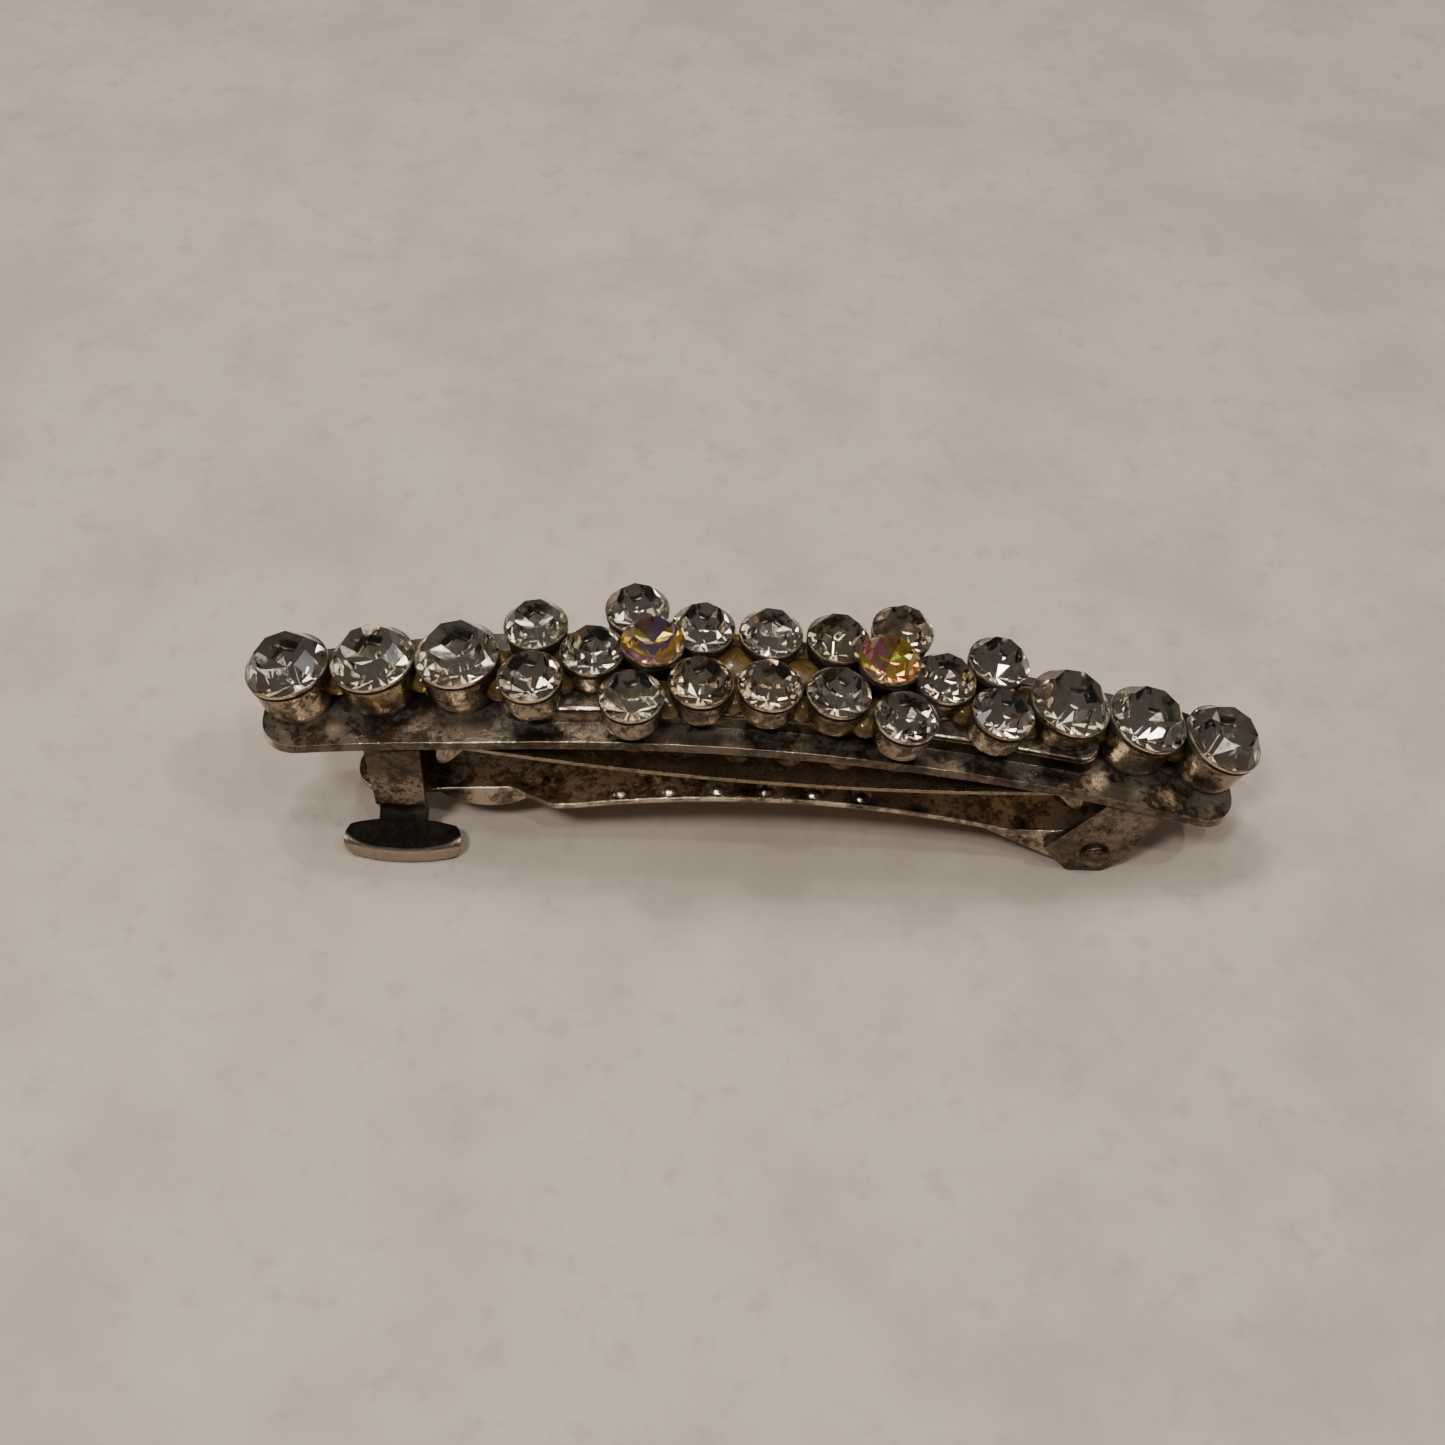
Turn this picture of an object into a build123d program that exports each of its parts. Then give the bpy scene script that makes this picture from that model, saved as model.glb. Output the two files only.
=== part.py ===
"""Rhinestone hair clip: an arched plate set with 24 cupped stones, over a sprung French clasp.

Frame: X along the clip, Y across it, +Z up. The clip stands closed on its two finger pads
(at -X) and on its hinge ears (at +X). The origin is on the surface that it stands on,
under the middle of its bounding box.
"""
import os
from math import cos, degrees, pi, radians, sin, sqrt, tan

from build123d import *

os.makedirs("parts", exist_ok=True)

# ---- overall arch (mm, degrees) ----
arch_radius = 128.9       # top face of the plate, side view
apex_height = 14.38       # highest point of that face above the table
apex_x = -8.74            # where that point is along the clip
seat_tilt = 3.94          # the plate's middle leans this much towards the hinge

# ---- top plate ----
plate_left = 37.0         # along the arch, from the plate's middle station to its left end
plate_right = 36.7
plate_width = 10.4
plate_end_width = 8.9     # the catch end narrows
plate_taper = 15.0
plate_thickness = 0.8
plate_corner = 3.2
rib_left = 19.3           # raised central rib, pressed up out of the sheet
rib_right = 25.3
rib_width = 6.8
rib_height = 1.4
rib_corner = 2.0
rib_edge_round = 0.35

# ---- stones and cups ----
large_stone_radius = 2.95
small_stone_radius = 2.20
centre_stone_radius = 2.15
cup_lip = 0.15            # metal outside the stone
setting_gap = 0.02        # between a stone and its cup
girdle_height = 0.15      # straight edge of a stone
pavilion_angle = 33.0     # foiled cone under the girdle
crown_ratio = 0.50        # crown height over stone radius
table_ratio = 0.64        # flat table
break_ratio = 0.92        # where the steep lower crown meets the upper crown
break_rise = 0.28
cup_floor = 0.20
cup_wall = 0.22
lip_rise = 0.14           # rim above the girdle plane
lip_cover = 0.01          # how far the rim closes over the stone

large_girdle = 3.80       # girdle plane above the plate's top face
small_girdle = 4.10
centre_girdle = 5.30
large_foot_radius = 2.56
ribbed_foot_radius = 2.78 # large cup that stands on the rib
small_foot_radius = 1.98
centre_foot_radius = 1.25
centre_stem_top = 3.20    # where the raised centre cup begins to widen

flower_station = 8.20     # flower centre along the arch
petal_ring = 4.35         # petal centres from the flower centre
petal_count = 5
pair_station = 16.55      # outer pairs
pair_half_gap = 2.45
first_large = 21.90       # large stones along the arch
second_large = 27.95
third_large = 34.15

# ---- catch ----
catch_x = -26.9           # middle of the arms and pads
arm_sheet = 0.45
arm_top_width = 4.1
arm_neck_width = 3.6
arm_root_y = 3.62         # bend line, beside the catch base
arm_top_y = 4.20
waist_y = 3.00            # where the arms come nearest to each other
waist_z = 2.90
shelf_y = 3.95
shelf_z = 4.70
flange_y = 5.95           # bend between the pad's flange and its lip
flange_z = 1.40
lip_y = 6.02
pad_half_length = 4.45
pad_half_height = 1.66    # the pad has round ends when seen square to pad_view
pad_bow = 5.60            # half length of the oval that bows its long edges
pad_view = 49.5           # degrees above level
pad_centre = 2.95         # from the origin, outward and down in that view
arm_sweep = 15.6          # arms and pads are gently curved in plan, at the flange
arm_sweep_arc = 60.0
arm_bend = 0.55
arm_top_bend = 0.40
arm_top_gap = 0.17        # arm's bend below the plate
catch_sheet = 0.50
catch_base_length = 5.6
catch_base_gap = 0.22     # base edge to arm
catch_rivet_station = -27.5
dimple_z = 7.2
dimple_x = 0.85           # from the middle of the arm
dimple_radius = 0.90
dimple_depth = 0.25

# ---- bow spring ----
bow_sheet = 0.35
bow_width = 9.6
bow_left_x = -21.5
bow_right_x = 22.0
bow_left_z = 12.80
bow_right_z = 9.76
bow_sag = 1.40
bow_tab_run = 2.4         # end tabs, bent down
bow_tab_drop = 3.0
bow_corner = 1.8
slot_count = 6
slot_pitch = 3.9
slot_width = 2.3
slot_length = 6.4
slot_first_x = -9.6

# ---- lever ----
lever_sheet = 0.50
lever_apex_z = 7.00       # top of its arch, over the origin
lever_radius = 66.0
lever_width = 8.4
lever_web_end = 19.5      # from here the web runs straight over the pin
lever_knuckle_end = 26.6
lever_bend_x = -14.0      # where the arched body becomes the straight neck
lever_tip_x = -30.6
lever_tip_z = 4.15
neck_width = 5.0
tongue_width = 5.1
shoulder_start = -15.4    # body narrows to the neck between these
shoulder_end = -18.6
shoulder_round = 1.8
neck_rim_start = -16.6
neck_rim_end = -24.3
neck_rim_low = 2.75
bump_count = 6
bump_pitch = 3.6
bump_first_x = -10.3
bump_y = 3.25
bump_radius = 1.0
bump_rise = 0.28
cheek_run = 3.0           # where the side cheeks start, before the end of the web
cheek_heel = (2.9, 1.60)  # lower corners of a cheek, before and below the pin
cheek_toe = (0.6, 1.85)

# ---- hinge ----
pin_x = 25.86
pin_z = 2.20
pin_radius = 0.80
pin_head_radius = 1.15
pin_head = 0.45
pin_running_clearance = 0.05
pin_fixed_clearance = 0.02
knuckle_radius = 1.95
ear_side_gap = 0.15       # lever flange to ear
bracket_sheet = 0.50
bracket_bend = 1.30
bracket_station = 28.4
bracket_length = 12.0
bracket_gap = 0.04        # flat base under the hollow side of the plate
ear_foot_before = 1.86    # flat foot of an ear, either side of the pin
ear_foot_after = 0.74
ear_nose = (3.96, 0.50)   # nearest corner to the catch, before and above the pin
ear_heel = (2.04, 0.80)   # corner behind and below the pin
ear_lean = 10.3           # how far the ear's slanted sides rise, to past the base
ear_front_run = 3.14      # and where they have got to, along the clip from the pin
ear_back_run = 6.74
ear_round = 0.50
bracket_rivet_station = 28.15

# ---- rivets ----
rivet_radius = 0.60
rivet_head_radius = 1.10
rivet_head = 0.35
rivet_clearance = 0.02

arch_centre_z = apex_height - arch_radius
plate_under = -plate_thickness
ear_inner_y = lever_width / 2 + ear_side_gap
ear_outer_y = ear_inner_y + bracket_sheet


def arch_point(station, height):
    """Side-view (x, z) of a point that lies height above the plate's top face."""
    turn = station / arch_radius + radians(seat_tilt)
    reach = arch_radius + height
    return apex_x + reach * sin(turn), arch_centre_z + reach * cos(turn)


def on_arch(station, across=0.0, height=0.0):
    """Location square to the plate at a station along it."""
    x, z = arch_point(station, height)
    return Location((x, across, z), (0, degrees(station / arch_radius) + seat_tilt, 0))


def arch_strip(start, end, low, high, width):
    """Slab that follows the arch between two stations and two heights."""
    middle = (start + end) / 2
    upper = ThreePointArc(arch_point(start, high), arch_point(middle, high), arch_point(end, high))
    lower = ThreePointArc(arch_point(end, low), arch_point(middle, low), arch_point(start, low))
    outline = Wire([upper, Line(upper @ 1, lower @ 0), lower, Line(lower @ 1, upper @ 0)])
    return extrude(Plane.XZ * Face(outline), width / 2, both=True)


def plan_prism(start, end, width, corner, reach=12.0):
    """Round-cornered block, square to the plate's middle, that trims a strip in plan."""
    left = arch_radius * sin(start / arch_radius)
    right = arch_radius * sin(end / arch_radius)
    outline = Pos((left + right) / 2, 0) * RectangleRounded(right - left, width, corner)
    return on_arch(0) * extrude(outline, reach, both=True)


def plate_prism(reach=12.0):
    """Plan outline of the plate: rounded ends, with the catch end a little narrower."""
    left = -arch_radius * sin(plate_left / arch_radius)
    right = arch_radius * sin(plate_right / arch_radius)
    wide = plate_width / 2
    narrow = plate_end_width / 2
    outline = Polygon(
        (left, -narrow), (left + plate_taper, -wide), (right, -wide),
        (right, wide), (left + plate_taper, wide), (left, narrow),
        align=None,
    )
    ends = [v for v in outline.vertices() if abs(v.X - left) < 0.1 or abs(v.X - right) < 0.1]
    outline = fillet(ends, plate_corner)
    return on_arch(0) * extrude(outline, reach, both=True)


def side_solid(outline, thickness, across=0.0):
    """Side-view face given thickness across the clip, centred on one Y."""
    return Pos(0, across, 0) * extrude(Plane.XZ * outline, thickness / 2, both=True)


def rivet_hole(station, low):
    shank = Cylinder(rivet_radius + rivet_clearance, 4 + abs(low))
    return on_arch(station, 0, low / 2) * shank


def make_top_plate():
    beyond = 3.0
    sheet = arch_strip(-plate_left - beyond, plate_right + beyond, plate_under, 0, plate_width)
    sheet &= plate_prism()
    rib = arch_strip(-rib_left - beyond, rib_right + beyond, plate_under, rib_height, rib_width)
    rib &= plan_prism(-rib_left, rib_right, rib_width, rib_corner)
    crest = rib.faces().sort_by(Axis.Z)[-1]
    rib = fillet(crest.edges(), rib_edge_round)
    wall = plate_thickness
    hollow = arch_strip(-rib_left, rib_right, plate_under, rib_height - wall, rib_width - 2 * wall)
    hollow &= plan_prism(-rib_left + wall, rib_right - wall, rib_width - 2 * wall, rib_corner - wall)
    plate = sheet + rib - hollow
    plate -= rivet_hole(catch_rivet_station, plate_under)
    plate -= rivet_hole(bracket_rivet_station, plate_under)
    return plate


def make_rivet(station, grip):
    """Flush on top of the plate, with a low domed head under what it holds."""
    shank_length = grip + rivet_head / 2
    shank = Pos(0, 0, -shank_length / 2 - rivet_clearance) * Cylinder(rivet_radius, shank_length)
    head = Pos(0, 0, -grip - rivet_head / 2 - rivet_clearance) * Cylinder(rivet_head_radius, rivet_head)
    head = fillet(head.faces().sort_by(Axis.Z)[0].edges(), rivet_head * 0.6)
    return on_arch(station) * (shank + head)


def make_cup(stone_radius, girdle, foot_height, foot_radius, stem_top=None):
    """Drawn cup with a rolled rim; heights are above the plate's top face."""
    rim_radius = stone_radius + cup_lip
    bore = stone_radius + setting_gap
    seat = stone_radius * 0.30
    seat_drop = seat * tan(radians(pavilion_angle))
    shoulder = girdle - girdle_height
    outside = [(0, foot_height), (foot_radius, foot_height)]
    if stem_top is not None:
        outside.append((foot_radius, stem_top))
    outside += [(rim_radius, shoulder), (rim_radius, girdle + lip_rise)]
    floor = (stem_top if stem_top is not None else foot_height) + cup_floor
    inside = [
        (stone_radius - lip_cover, girdle + lip_rise),
        (bore, girdle + setting_gap),
        (bore, shoulder),
        (bore - seat, shoulder - seat_drop),
        (foot_radius - cup_wall, floor),
        (0, floor),
    ]
    section = make_face(Polyline(*(outside + inside), close=True))
    return revolve(Plane.XZ * section, Axis.Z)


def make_stone(radius, girdle):
    """Round stone: flat table, sloping crown, thin girdle and a foiled cone below."""
    crown = radius * crown_ratio
    keel = radius * tan(radians(pavilion_angle))
    section = make_face(
        Polyline(
            (0, girdle + crown),
            (radius * table_ratio, girdle + crown),
            (radius * break_ratio, girdle + radius * break_rise),
            (radius, girdle),
            (radius, girdle - girdle_height),
            (0, girdle - girdle_height - keel),
            close=True,
        )
    )
    return revolve(Plane.XZ * section, Axis.Z)


def stone_layout():
    """Every stone as (name, station, across, kind), from the catch end to the hinge end."""
    level = 1 + small_girdle / arch_radius
    layout = []
    for number, station in enumerate((third_large, second_large, first_large)):
        layout.append((f"large_{number + 1}", -station, 0.0, "large"))
    layout.append(("large_4", first_large, 0.0, "ribbed"))
    layout.append(("large_5", second_large, 0.0, "large"))
    layout.append(("large_6", third_large, 0.0, "large"))
    for name, station in (("left", -pair_station), ("middle", 0.0), ("right", pair_station)):
        layout.append((f"{name}_pair_front", station, -pair_half_gap, "small"))
        layout.append((f"{name}_pair_back", station, pair_half_gap, "small"))
    for name, side in (("left", -1), ("right", 1)):
        for petal in range(petal_count):
            turn = 2 * pi * petal / petal_count
            station = side * (flower_station + petal_ring * cos(turn) / level)
            layout.append((f"{name}_petal_{petal + 1}", station, petal_ring * sin(turn), "small"))
        layout.append((f"{name}_centre", side * flower_station, 0.0, "centre"))
    return layout


STONE_KINDS = {
    "large": (large_stone_radius, large_girdle, 0.0, large_foot_radius, None),
    "ribbed": (large_stone_radius, large_girdle, rib_height, ribbed_foot_radius, None),
    "small": (small_stone_radius, small_girdle, rib_height, small_foot_radius, None),
    "centre": (centre_stone_radius, centre_girdle, rib_height, centre_foot_radius, centre_stem_top),
}


def make_catch_base():
    half = catch_base_length / 2
    station = (catch_x - apex_x) - arch_radius * radians(seat_tilt)
    width = 2 * (arm_root_y - arm_sheet / 2 - catch_base_gap)
    base = arch_strip(station - half, station + half, plate_under - catch_sheet, plate_under, width)
    base -= rivet_hole(catch_rivet_station, plate_under - catch_sheet)
    return base


def arm_root_z():
    """Middle of the arm's sheet at its bend line: clear of the plate over the arm's whole width."""
    far = catch_x - arm_top_width / 2 - apex_x
    under = sqrt((arch_radius - plate_thickness) ** 2 - far ** 2) + arch_centre_z
    return under - arm_top_gap - arm_sheet / 2


def make_catch_arm(side):
    """One spring arm with its T-shaped finger pad; side is -1 at the front, +1 at the back."""
    top_z = arm_root_z()
    path = FilletPolyline(
        (arm_root_y, top_z),
        (arm_top_y, top_z),
        (shelf_y, shelf_z),
        (waist_y, waist_z),
        (flange_y, flange_z),
        (lip_y, 0.0),
        radius=(arm_top_bend, arm_bend, arm_bend, arm_bend),
    )
    half = arm_sheet / 2
    band = offset(path, half, side=Side.BOTH, kind=Kind.INTERSECTION)
    swept = Axis((0, flange_y - arm_sweep, 0), (0, 0, 1))
    sheet = revolve(Plane.YZ * make_face(band), swept, arm_sweep_arc)
    sheet = sheet.rotate(swept, -arm_sweep_arc / 2)
    top = arm_top_width / 2
    neck = arm_neck_width / 2
    shank = Polygon((-top, top_z + 1), (top, top_z + 1), (neck, waist_z - 1), (-neck, waist_z - 1),
                    align=None)
    slope = radians(pad_view)
    oblique = Plane((0, 0, 0), x_dir=(1, 0, 0), z_dir=(0, cos(slope), sin(slope)))
    outline = SlotOverall(2 * pad_half_length, 2 * pad_half_height) & Ellipse(pad_bow, pad_half_height)
    pad = extrude(oblique * Pos(0, pad_centre) * outline, 14, both=True)
    below = Pos(0, 0, waist_z - 3) * Box(20, 30, 6)
    front_view = extrude(Plane.XZ * shank, 12, both=True) + (pad & below)
    arm = Pos(catch_x, 0, 0) * (sheet & front_view)
    ball = dimple_radius ** 2 / (2 * dimple_depth) + dimple_depth / 2
    lean = (arm_top_y - shelf_y) / (top_z - shelf_z)
    face_y = shelf_y + (dimple_z - shelf_z) * lean + half
    arm -= Pos(catch_x + dimple_x, face_y + ball - dimple_depth, dimple_z) * Sphere(ball)
    arm = arm & Pos(catch_x, 0, 20) * Box(30, 30, 40)
    return arm if side > 0 else mirror(arm, Plane.XZ)


def make_bow_spring():
    middle = (bow_left_x + bow_right_x) / 2
    low = (bow_left_z + bow_right_z) / 2 - bow_sag
    arc = ThreePointArc((bow_left_x, bow_left_z), (middle, low), (bow_right_x, bow_right_z))
    left_tab = Line((bow_left_x - bow_tab_run, bow_left_z - bow_tab_drop), arc @ 0)
    right_tab = Line(arc @ 1, (bow_right_x + bow_tab_run, bow_right_z - bow_tab_drop))
    top = Wire([left_tab, arc, right_tab])
    drop = Pos(0, -bow_sheet)
    sides = [Line(top @ 1, (top @ 1) - Vector(0, bow_sheet)),
             Line(top @ 0, (top @ 0) - Vector(0, bow_sheet))]
    outline = Wire(list(top.edges()) + [sides[0]] + list((drop * top).edges()) + [sides[1]])
    spring = side_solid(Face(outline), bow_width)
    length = bow_right_x - bow_left_x + 2 * bow_tab_run
    spring &= Pos(middle, 0, 0) * extrude(RectangleRounded(length, bow_width, bow_corner), 20)
    for number in range(slot_count):
        slot = SlotOverall(slot_length, slot_width, rotation=90)
        spring -= Pos(slot_first_x + number * slot_pitch, 0, 0) * extrude(slot, 20)
    return spring


def lever_z(x):
    """Top face of the lever's arched body."""
    return lever_apex_z - lever_radius + sqrt(lever_radius ** 2 - x ** 2)


def lever_neck_z(x):
    """Top face of the straight neck."""
    share = (lever_bend_x - x) / (lever_bend_x - lever_tip_x)
    return lever_z(lever_bend_x) + share * (lever_tip_z - lever_z(lever_bend_x))


def lever_web():
    bend = (lever_bend_x, lever_z(lever_bend_x))
    joint = (lever_web_end, lever_z(lever_web_end))
    tail = Line((lever_knuckle_end, pin_z + knuckle_radius), joint)
    body = ThreePointArc(joint, (0, lever_z(0)), bend)
    neck = Line(bend, (lever_tip_x, lever_tip_z))
    under = Pos(0, -lever_sheet)
    top = Wire([tail, body, neck])
    ends = [Line(top @ 1, (top @ 1) - Vector(0, lever_sheet)),
            Line(top @ 0, (top @ 0) - Vector(0, lever_sheet))]
    outline = Wire(list(top.edges()) + [ends[0]] + list((under * top).edges()) + [ends[1]])
    return side_solid(Face(outline), lever_width)


def lever_plan():
    """Wide body, sloping rounded shoulders, narrow neck and a round tongue."""
    wide = lever_width / 2
    narrow = neck_width / 2
    tongue_x = lever_tip_x + tongue_width / 2
    plan = Polygon(
        (lever_knuckle_end, wide), (shoulder_start, wide), (shoulder_end, narrow), (tongue_x, narrow),
        (tongue_x, -narrow), (shoulder_end, -narrow), (shoulder_start, -wide), (lever_knuckle_end, -wide),
        align=None,
    )
    shoulders = [v for v in plan.vertices() if shoulder_end - 0.1 < v.X < shoulder_start + 0.1]
    plan = fillet(shoulders, shoulder_round)
    return plan + Pos(tongue_x, 0) * Circle(tongue_width / 2)


def lever_neck_rims():
    start = (neck_rim_start, lever_neck_z(neck_rim_start) - lever_sheet / 2)
    end = (neck_rim_end, lever_neck_z(neck_rim_end) - lever_sheet / 2)
    middle = (neck_rim_start + neck_rim_end) / 2
    curve = ThreePointArc(start, (middle, neck_rim_low), end)
    face = Face(Wire([curve, Line(curve @ 1, curve @ 0)]))
    across = (neck_width - lever_sheet) / 2
    return [side_solid(face, lever_sheet, side * across) for side in (-1, 1)]


def lever_flanges():
    """Side cheeks that carry the web down to the pin."""
    start = lever_web_end - cheek_run
    wedge = Polygon(
        (start, lever_z(start) - lever_sheet / 2),
        (lever_web_end, lever_z(lever_web_end) - lever_sheet / 2),
        (pin_x, pin_z + knuckle_radius - lever_sheet / 2),
        (pin_x - cheek_toe[0], pin_z - cheek_toe[1]),
        (pin_x - cheek_heel[0], pin_z - cheek_heel[1]),
        align=None,
    )
    eye = Pos(pin_x, pin_z) * Circle(knuckle_radius)
    bore = Pos(pin_x, pin_z) * Circle(pin_radius + pin_running_clearance)
    across = (lever_width - lever_sheet) / 2
    return [side_solid(wedge + eye - bore, lever_sheet, side * across) for side in (-1, 1)]


def make_lever():
    lever = lever_web() & extrude(lever_plan(), 20)
    for piece in lever_neck_rims() + lever_flanges():
        lever += piece
    cap_height = bump_rise + lever_sheet / 2
    cap = Sphere(bump_radius) & Pos(0, 0, bump_radius - cap_height / 2) * Box(4, 4, cap_height)
    for number in range(bump_count):
        x = bump_first_x + number * bump_pitch
        for side in (-1, 1):
            lever += Pos(x, side * bump_y, lever_z(x) + bump_rise - bump_radius) * cap
    return lever


def bracket_outline():
    """Side view of an ear: flat foot, slanted sides, and tall enough to be trimmed by the base."""
    outline = Polygon(
        (pin_x - ear_nose[0], pin_z + ear_nose[1]),
        (pin_x + ear_front_run, pin_z + ear_lean),
        (pin_x + ear_back_run, pin_z + ear_lean),
        (pin_x + ear_heel[0], pin_z - ear_heel[1]),
        (pin_x + ear_foot_after, 0),
        (pin_x - ear_foot_before, 0),
        align=None,
    )
    return fillet(outline.vertices().sort_by(Axis.Y)[:3], ear_round)


def make_hinge_bracket():
    half = ear_outer_y
    outer = Pos(0, -10) * Rectangle(2 * half, 20)
    outer = fillet(outer.vertices().sort_by(Axis.Y)[-2:], bracket_bend)
    inner = Pos(0, -10 - bracket_sheet) * Rectangle(2 * half - 2 * bracket_sheet, 20)
    inner = fillet(inner.vertices().sort_by(Axis.Y)[-2:], bracket_bend - bracket_sheet)
    channel = extrude(Plane.YZ * (outer - inner), bracket_length / 2, both=True)
    channel = on_arch(bracket_station, 0, plate_under - bracket_gap) * channel
    bracket = channel & extrude(Plane.XZ * bracket_outline(), 2 * half, both=True)
    bracket -= Pos(pin_x, 0, pin_z) * Rot(90, 0, 0) * Cylinder(pin_radius + pin_fixed_clearance, 14)
    bracket -= rivet_hole(bracket_rivet_station, plate_under - bracket_sheet)
    return bracket


def make_hinge_pin():
    shaft = Cylinder(pin_radius, 2 * ear_outer_y)
    head = Cylinder(pin_head_radius, pin_head)
    head = fillet(head.faces().sort_by(Axis.Z)[-1].edges(), pin_head * 0.55)
    pin = shaft + Pos(0, 0, ear_outer_y + pin_head / 2) * head
    pin += Pos(0, 0, -ear_outer_y - pin_head / 2) * (Rot(180, 0, 0) * head)
    return Pos(pin_x, 0, pin_z) * Rot(90, 0, 0) * pin


def write(name, solid):
    solid.label = name
    export_step(solid, f"parts/{name}.step")


def main():
    write("top_plate", make_top_plate())
    write("catch_base", make_catch_base())
    write("catch_rivet", make_rivet(catch_rivet_station, plate_thickness + catch_sheet))
    write("catch_arm_front", make_catch_arm(-1))
    write("catch_arm_back", make_catch_arm(1))
    write("bow_spring", make_bow_spring())
    write("lever", make_lever())
    write("hinge_bracket", make_hinge_bracket())
    write("bracket_rivet", make_rivet(bracket_rivet_station, plate_thickness + bracket_sheet + bracket_gap))
    write("hinge_pin", make_hinge_pin())
    for name, station, across, kind in stone_layout():
        radius, girdle, foot_height, foot_radius, stem_top = STONE_KINDS[kind]
        cup = make_cup(radius, girdle, foot_height, foot_radius, stem_top)
        write(f"cup_{name}", on_arch(station, across) * cup)
        write(f"stone_{name}", on_arch(station, across) * make_stone(radius, girdle))


main()
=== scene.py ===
"""Looks of the rhinestone hair clip: cut foil-backed stones, rolled cups, old glue and tarnished metal."""
from collections import namedtuple
from math import cos, pi, radians, sin, tan
from random import Random

import bmesh
import bpy
from mathutils import Euler, Matrix, Vector


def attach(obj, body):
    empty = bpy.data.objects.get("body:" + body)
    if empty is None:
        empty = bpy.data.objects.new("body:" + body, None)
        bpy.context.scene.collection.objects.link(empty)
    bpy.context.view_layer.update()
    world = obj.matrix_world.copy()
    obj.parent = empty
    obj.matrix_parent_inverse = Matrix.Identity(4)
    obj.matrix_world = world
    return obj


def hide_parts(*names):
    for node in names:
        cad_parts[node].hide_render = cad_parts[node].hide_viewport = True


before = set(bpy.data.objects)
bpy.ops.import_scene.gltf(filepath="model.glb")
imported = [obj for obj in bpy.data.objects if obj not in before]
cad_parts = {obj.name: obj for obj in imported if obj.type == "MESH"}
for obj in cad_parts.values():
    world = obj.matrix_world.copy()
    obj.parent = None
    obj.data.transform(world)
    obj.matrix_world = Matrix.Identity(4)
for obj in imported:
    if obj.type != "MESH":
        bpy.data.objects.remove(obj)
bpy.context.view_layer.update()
MM = 0.001


BODY = "clip_body"

# ---------------------------------------------------------------- layout, in millimetres
# the CAD model's layout; a station is a length along the arch from the plate's middle
ARCH_RADIUS = 128.9
APEX_HEIGHT = 14.38
APEX_X = -8.74
SEAT_TILT = radians(3.94)        # the plate's middle leans this much towards the hinge
RIB_HEIGHT = 1.4
FLOWER_STATION = 8.20
PETAL_RING = 4.35                # petal centres from the flower's centre
PETALS = 5
PAIR_STATION = 16.55
PAIR_HALF_GAP = 2.45
LARGE_STATIONS = (21.90, 27.95, 34.15)

# heights are above the plate's top face; large cups have 0.04 more foot radius than in the CAD model
Setting = namedtuple("Setting", "radius girdle foot foot_radius stem_top")
SETTINGS = {
    "large": Setting(2.95, 3.80, 0.0, 2.60, None),
    "ribbed": Setting(2.95, 3.80, RIB_HEIGHT, 2.78, None),
    "small": Setting(2.20, 4.10, RIB_HEIGHT, 1.98, None),
    "centre": Setting(2.15, 5.30, RIB_HEIGHT, 1.25, 3.20),
}
SPREAD = 1 + SETTINGS["small"].girdle / ARCH_RADIUS    # a length on the plate grows this much at that height
CUP_LIP = 0.15                   # metal outside the stone
GLASS_GROWTH = 0.10              # the glass shows almost to the outside of its cup
FIRST_SEED = 11                  # of the stones' own draws


def on_arch(station, across=0.0, height=0.0):
    """Matrix square to the plate at a station along it, in metres."""
    turn = station / ARCH_RADIUS + SEAT_TILT
    reach = ARCH_RADIUS + height
    x = APEX_X + reach * sin(turn)
    z = APEX_HEIGHT - ARCH_RADIUS + reach * cos(turn)
    return Matrix.Translation(Vector((x, across, z)) * MM) @ Matrix.Rotation(turn, 4, "Y")


def layout():
    """Name, station, place across the plate and kind of every setting."""
    rows = []
    for number, station in enumerate(reversed(LARGE_STATIONS)):
        rows.append((f"large_{number + 1}", -station, 0.0, "large"))
    for number, station in enumerate(LARGE_STATIONS):
        kind = "large" if number else "ribbed"
        rows.append((f"large_{number + 4}", station, 0.0, kind))
    for name, station in (("left", -PAIR_STATION), ("middle", 0.0), ("right", PAIR_STATION)):
        rows.append((f"{name}_pair_front", station, -PAIR_HALF_GAP, "small"))
        rows.append((f"{name}_pair_back", station, PAIR_HALF_GAP, "small"))
    for name, side in (("left", -1), ("right", 1)):
        for petal in range(PETALS):
            turn = 2 * pi * petal / PETALS
            station = side * (FLOWER_STATION + PETAL_RING * cos(turn) / SPREAD)
            rows.append((f"{name}_petal_{petal + 1}", station, PETAL_RING * sin(turn), "small"))
        rows.append((f"{name}_centre", side * FLOWER_STATION, 0.0, "centre"))
    return rows


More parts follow.
